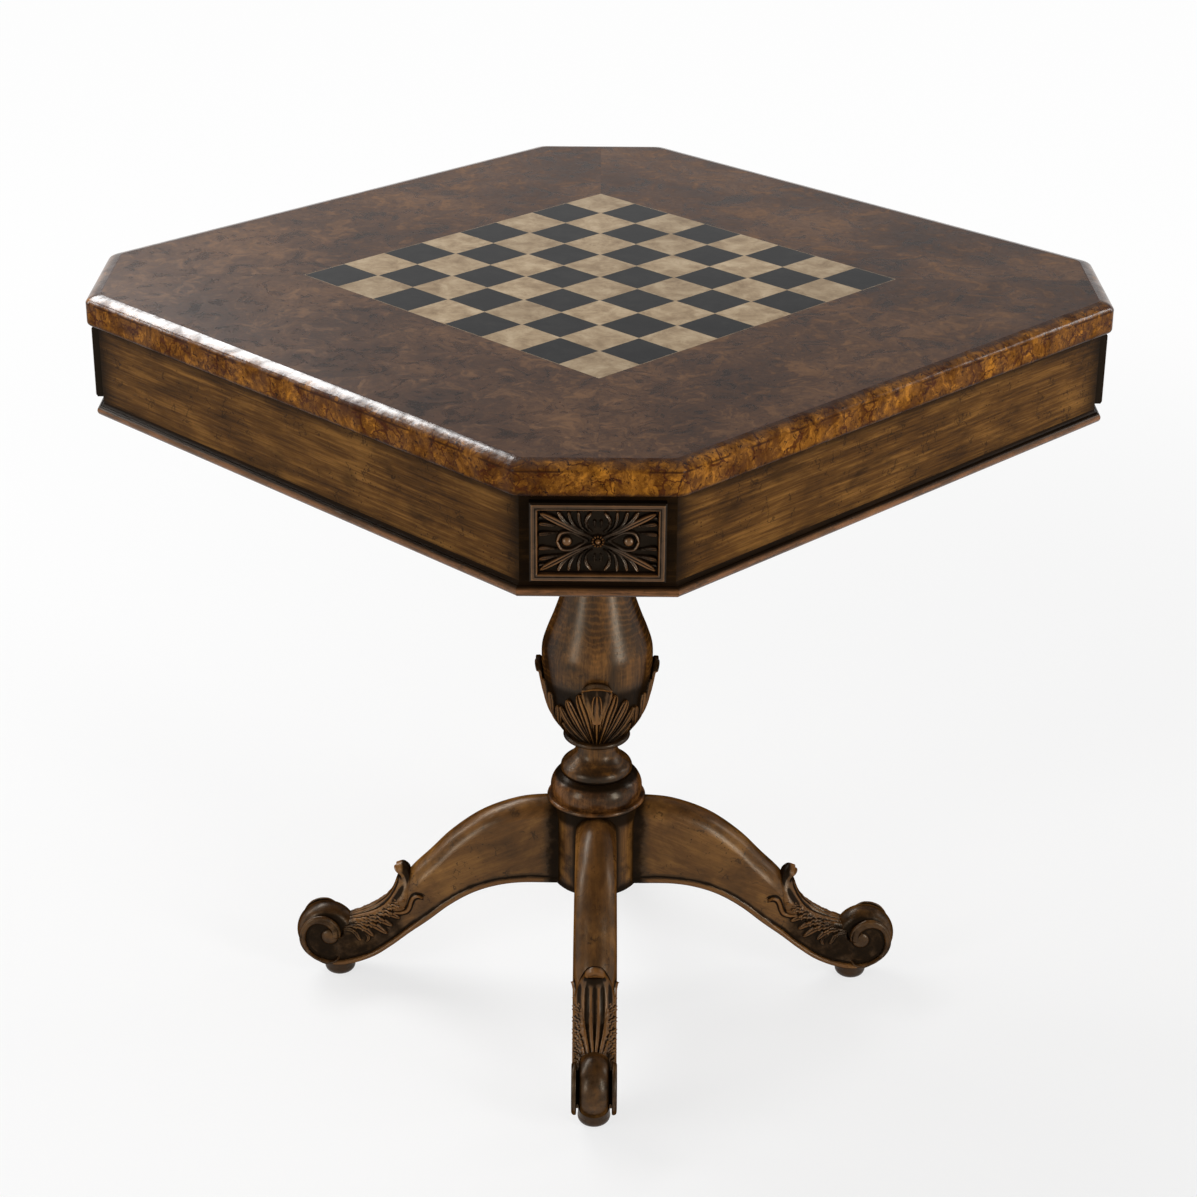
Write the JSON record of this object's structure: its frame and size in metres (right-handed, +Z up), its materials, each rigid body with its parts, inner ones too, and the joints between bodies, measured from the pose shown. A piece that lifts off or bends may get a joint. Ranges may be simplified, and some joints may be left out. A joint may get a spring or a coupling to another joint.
{
  "type": "games table",
  "caption": "Square games table with canted corners and a flush chess board, on a turned baluster with an acanthus cup and carved scroll legs.",
  "frame": {"origin": "on the floor under the middle of the top, at the level the pad feet stand on", "axes": "+Z up; the long sides of the top face -Y, +X, +Y and -X, and the legs point to the canted corners"},
  "size_m": [0.762, 0.762, 0.762],
  "materials": {
    "top_burl": "satin burl veneer, dark brown with a grey sheen",
    "edge_burl": "polished golden burl",
    "board_light": "satin pale maple inlay",
    "board_dark": "satin ebonised inlay",
    "frame_walnut": "waxed walnut brown with dark glaze",
    "carved_walnut": "carved, dark antique glaze in the hollows",
    "turned_walnut": "turned and polished, figured grain",
    "dark_walnut": "dark stain",
    "inner_wood": "unfinished secondary wood",
    "zinc_steel": "zinc plated"
  },
  "bodies": {
    "root": {"apron_cant_back_left": "frame_walnut", "apron_cant_back_right": "frame_walnut", "apron_cant_front_left": "frame_walnut", "apron_cant_front_right": "frame_walnut", "apron_long_back": "frame_walnut", "apron_long_front": "frame_walnut", "apron_long_left": "frame_walnut", "apron_long_right": "frame_walnut", "baluster": "turned_walnut", "base_moulding_cant_back_left": "frame_walnut", "base_moulding_cant_back_right": "frame_walnut", "base_moulding_cant_front_left": "frame_walnut", "base_moulding_cant_front_right": "frame_walnut", "base_moulding_long_back": "frame_walnut", "base_moulding_long_front": "frame_walnut", "base_moulding_long_left": "frame_walnut", "base_moulding_long_right": "frame_walnut", "block_screws": "zinc_steel", "board_dark_squares": "board_dark", "board_light_ground": "board_light", "border_veneer_back": "top_burl", "border_veneer_front": "top_burl", "border_veneer_left": "top_burl", "border_veneer_right": "top_burl", "corner_blocks": "inner_wood", "cross_rail_left": "inner_wood", "cross_rail_right": "inner_wood", "glue_blocks": "inner_wood", "leg_back_left": "carved_walnut", "leg_back_right": "carved_walnut", "leg_dowels": "inner_wood", "leg_front_left": "carved_walnut", "leg_front_right": "carved_walnut", "mounting_block": "inner_wood", "pad_foot_back_left": "dark_walnut", "pad_foot_back_right": "dark_walnut", "pad_foot_front_left": "dark_walnut", "pad_foot_front_right": "dark_walnut", "pedestal_collar": "turned_walnut", "pedestal_hub": "turned_walnut", "plate_screws": "zinc_steel", "rail_screws": "zinc_steel", "rosette_plate_back_left": "carved_walnut", "rosette_plate_back_right": "carved_walnut", "rosette_plate_front_left": "carved_walnut", "rosette_plate_front_right": "carved_walnut", "steel_plate": "zinc_steel", "tie_rod": "zinc_steel", "tie_rod_nuts": "zinc_steel", "tie_rod_washers": "zinc_steel", "top_core_panel": "inner_wood", "top_edge_cant_back_left": "edge_burl", "top_edge_cant_back_right": "edge_burl", "top_edge_cant_front_left": "edge_burl", "top_edge_cant_front_right": "edge_burl", "top_edge_long_back": "edge_burl", "top_edge_long_front": "edge_burl", "top_edge_long_left": "edge_burl", "top_edge_long_right": "edge_burl"}
  },
  "joints": []
}
